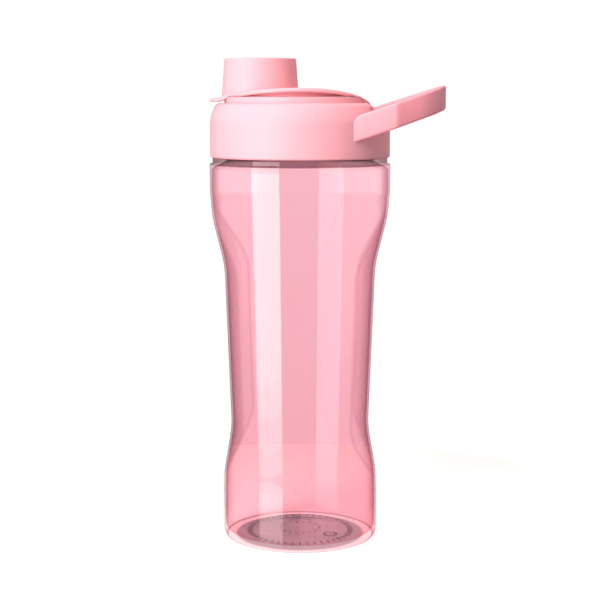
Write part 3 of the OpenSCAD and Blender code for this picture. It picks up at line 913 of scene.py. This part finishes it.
TALL_BOX_WIDTH = 0.60
TALL_BOX_STRIPS = (  # name, lower edge, upper edge, radiance: one light that fades out downwards
    ("tall_box", -0.15, 0.42, 4.6),
    ("tall_box_fade_1", -0.19, -0.15, 4.0),
    ("tall_box_fade_2", -0.23, -0.19, 3.2),
    ("tall_box_fade_3", -0.28, -0.23, 2.3),
    ("tall_box_foot", -0.60, -0.28, 0.85))
for name, low_z, high_z, radiance in TALL_BOX_STRIPS:
    middle, tall = (low_z + high_z) / 2, high_z - low_z
    power = radiance * math.pi * TALL_BOX_WIDTH * tall
    soft_box(name, -44, 0.9, middle, (TALL_BOX_WIDTH, tall), power, aim=middle)
for lamp in (soft_box("high_box", -34, 1.1, 0.95, (0.8, 0.8), 25.5),
             soft_box("rim_box", 145, 0.9, 0.25, (0.3, 0.6), 3.0),
             soft_box("top_box", 20, 0.15, 1.3, (0.9, 0.9), 6.0, aim=0.0)):
    lamp.visible_glossy = False  # only the tall box shows in the gloss


SEEN_DIRECTLY, LIGHTING = 1.10, 0.27  # strength of the white as seen, and as it lights surfaces


def studio_walls(dim, bright, base):
    """White behind clear plastic, and for gloss: dark in front, bright panels at both sides."""
    world = bpy.data.worlds.new("studio")
    world.use_nodes = True
    tree = world.node_tree
    links = tree.links
    paths = tree.nodes.new("ShaderNodeLightPath")
    coords = tree.nodes.new("ShaderNodeTexCoord")
    apart = tree.nodes.new("ShaderNodeSeparateXYZ")
    links.new(coords.outputs["Generated"], apart.inputs["Vector"])
    back = math_node(tree, "MULTIPLY")
    links.new(apart.outputs["Y"], back.inputs[0])
    back.inputs[1].default_value = -1
    azimuth = math_node(tree, "ARCTAN2")
    links.new(apart.outputs["X"], azimuth.inputs[0])
    links.new(back.outputs[0], azimuth.inputs[1])
    turn = tree.nodes.new("ShaderNodeMapRange")
    turn.inputs["From Min"].default_value, turn.inputs["From Max"].default_value = -math.pi, math.pi
    links.new(azimuth.outputs[0], turn.inputs["Value"])
    ramp = tree.nodes.new("ShaderNodeValToRGB")
    stops = [(-180, base), (-134, base), (-124, bright * 0.8), (-64, bright), (-50, dim), (34, dim),
             (44, bright * 0.36), (60, bright * 0.8), (84, bright * 1.05), (100, bright),
             (124, bright * 0.85), (132, base), (150, base), (180, bright * 0.6)]
    ramp.color_ramp.elements[0].position = 0
    ramp.color_ramp.elements[1].position = 1
    for degrees, value in stops[1:-1]:
        ramp.color_ramp.elements.new((degrees + 180) / 360).color = (value, value, value, 1)
    ramp.color_ramp.elements[0].color = (stops[0][1],) * 3 + (1,)
    ramp.color_ramp.elements[-1].color = (stops[-1][1],) * 3 + (1,)
    links.new(turn.outputs["Result"], ramp.inputs["Fac"])
    backdrops = []
    for strength in (SEEN_DIRECTLY, LIGHTING):
        shade = tree.nodes.new("ShaderNodeBackground")
        shade.inputs["Color"].default_value = (1, 1, 1, 1)
        shade.inputs["Strength"].default_value = strength
        backdrops.append(shade)
    panels = tree.nodes.new("ShaderNodeBackground")
    links.new(ramp.outputs["Color"], panels.inputs["Color"])
    level = tree.nodes.new("ShaderNodeMapRange")  # the panels fade out below the table's height
    level.inputs["From Min"].default_value, level.inputs["From Max"].default_value = -0.13, -0.085
    level.inputs["To Min"].default_value = 0.1
    links.new(apart.outputs["Z"], level.inputs["Value"])
    links.new(level.outputs["Result"], panels.inputs["Strength"])
    first, second = tree.nodes.new("ShaderNodeMixShader"), tree.nodes.new("ShaderNodeMixShader")
    soft = math_node(tree, "GREATER_THAN")
    links.new(paths.outputs["Diffuse Depth"], soft.inputs[0])
    soft.inputs[1].default_value = 0.5
    links.new(soft.outputs[0], first.inputs[0])
    links.new(backdrops[0].outputs[0], first.inputs[1])
    links.new(backdrops[1].outputs[0], first.inputs[2])
    mirrored = math_node(tree, "SUBTRACT")  # reflected, and not seen through clear plastic
    mirrored.use_clamp = True
    links.new(paths.outputs["Is Glossy Ray"], mirrored.inputs[0])
    links.new(paths.outputs["Is Transmission Ray"], mirrored.inputs[1])
    links.new(mirrored.outputs[0], second.inputs[0])
    links.new(first.outputs[0], second.inputs[1])
    links.new(panels.outputs[0], second.inputs[2])
    links.new(second.outputs[0], tree.nodes["World Output"].inputs["Surface"])
    bpy.context.scene.world = world


studio_walls(0.12, 1.35, 0.15)

# %% [markdown]
# The camera stands a little above the shoulder and looks slightly down, with a long lens, so that
# the lid is seen almost edge on and the foot is an open ellipse.

# %% Camera
CAMERA_DISTANCE, CAMERA_HEIGHT, CAMERA_TILT = 0.7097, 0.20863, 7.6
camera = bpy.data.objects.new("camera", bpy.data.cameras.new("camera"))
camera.data.lens, camera.data.sensor_width = 90.0, 36.0
camera.location = (0.0, -CAMERA_DISTANCE, CAMERA_HEIGHT)
camera.rotation_euler = (math.radians(90 - CAMERA_TILT), 0, 0)
bpy.context.scene.collection.objects.link(camera)
bpy.context.scene.camera = camera
bpy.context.scene.view_settings.view_transform = "Standard"
